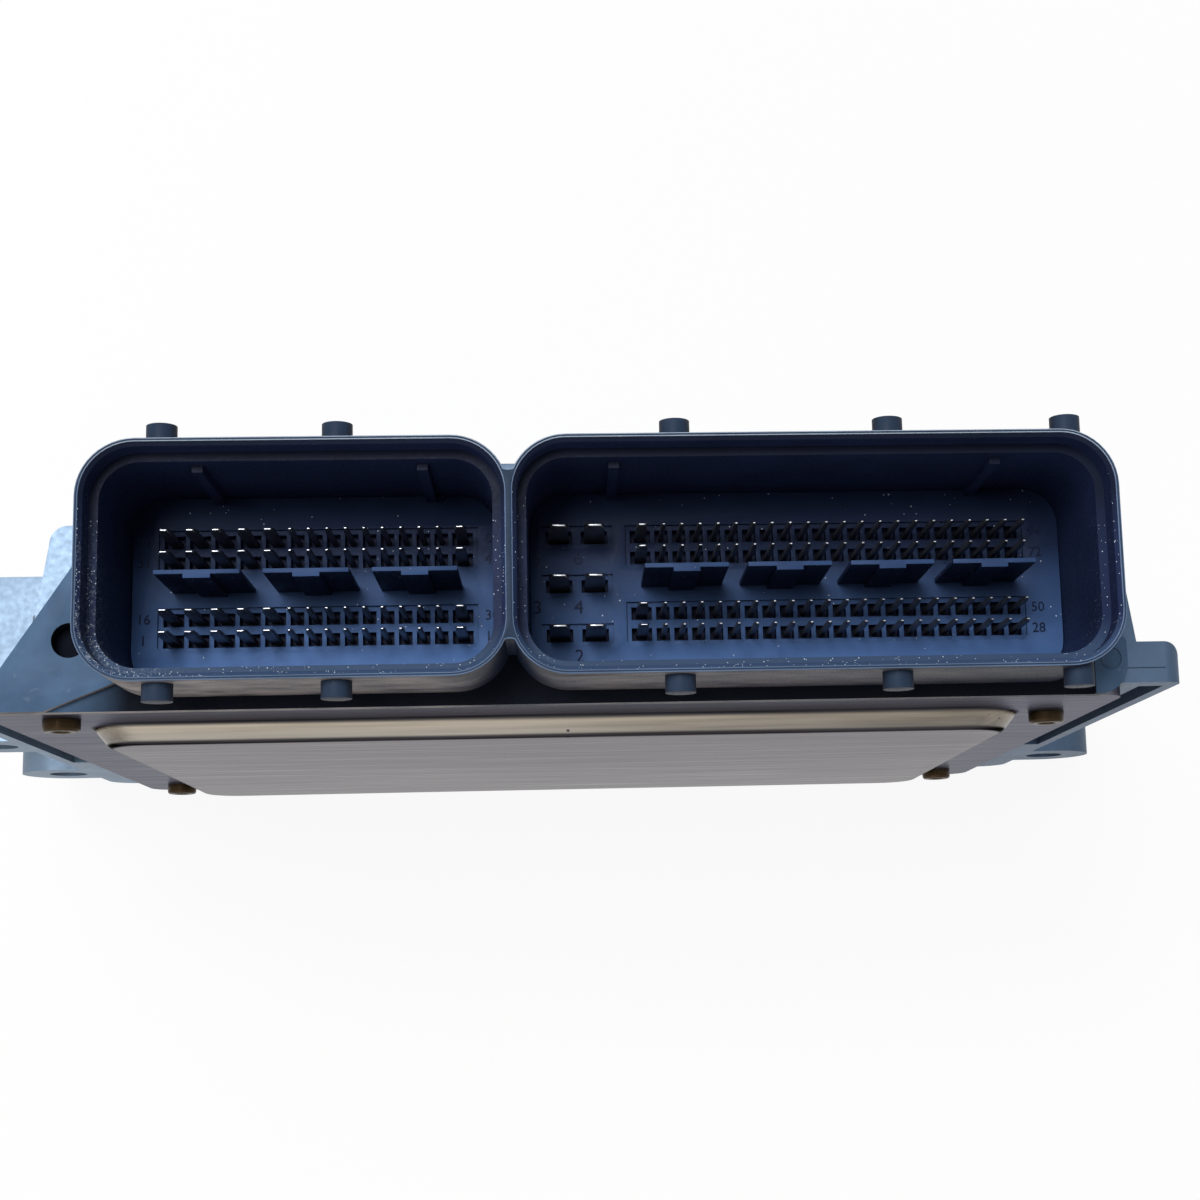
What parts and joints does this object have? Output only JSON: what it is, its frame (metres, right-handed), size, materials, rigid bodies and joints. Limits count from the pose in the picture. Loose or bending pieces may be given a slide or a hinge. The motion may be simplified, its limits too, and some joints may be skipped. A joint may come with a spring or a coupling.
{
  "type": "engine control unit",
  "caption": "Sealed engine control unit: flat cast housing with a pressed cover and a moulded header whose open sockets take the wiring plugs.",
  "frame": {"origin": "on the flat rear edge that the unit stands on, midway along the housing and in line with the middle of the pin rows", "axes": "+X along the sockets, +Y from the cover towards the main plate, +Z out of the socket mouths"},
  "size_m": [0.196, 0.042, 0.1365],
  "materials": {
    "cast_aluminium": "as-cast, slate grey with a fine grain",
    "cover_sheet": "pressed sheet, satin, warm reflection",
    "header_plastic": "moulded glass-filled nylon, satin black",
    "block_plastic": "moulded glass-filled nylon, satin black",
    "pin_metal": "tin plated",
    "board_laminate": "solder mask over glass laminate",
    "chip_plastic": "moulded epoxy",
    "capacitor_can": "sleeved can",
    "capacitor_ceramic": "fired ceramic",
    "inductor_ferrite": "pressed ferrite",
    "resistor_body": "coated metal strip",
    "crystal_can": "pressed can",
    "pad_silicone": "soft gap filler",
    "seal_silicone": "cured silicone bead",
    "screw_steel": "yellow zinc plated",
    "vent_film": "porous film"
  },
  "bodies": {
    "root": {"housing": "cast_aluminium", "cover": "cover_sheet", "connector_header": "header_plastic", "contact_block_a": "block_plastic", "contact_block_k": "block_plastic", "pins_a_signal": "pin_metal", "pins_a_load": "pin_metal", "pins_k_signal": "pin_metal", "pins_k_load": "pin_metal", "pins_k_supply": "pin_metal", "circuit_board": "board_laminate", "microcontroller": "chip_plastic", "flash_memory": "chip_plastic", "driver_chips": "chip_plastic", "power_mosfets": "chip_plastic", "boost_capacitors": "capacitor_can", "ceramic_capacitors": "capacitor_ceramic", "power_inductors": "inductor_ferrite", "shunt_resistors": "resistor_body", "crystal": "crystal_can", "pressure_sensor": "chip_plastic", "thermal_pads": "pad_silicone", "cover_seal": "seal_silicone", "header_seal": "seal_silicone", "cover_screws": "screw_steel", "board_screws": "screw_steel", "vent_plug": "header_plastic", "vent_membrane": "vent_film"}
  },
  "joints": []
}
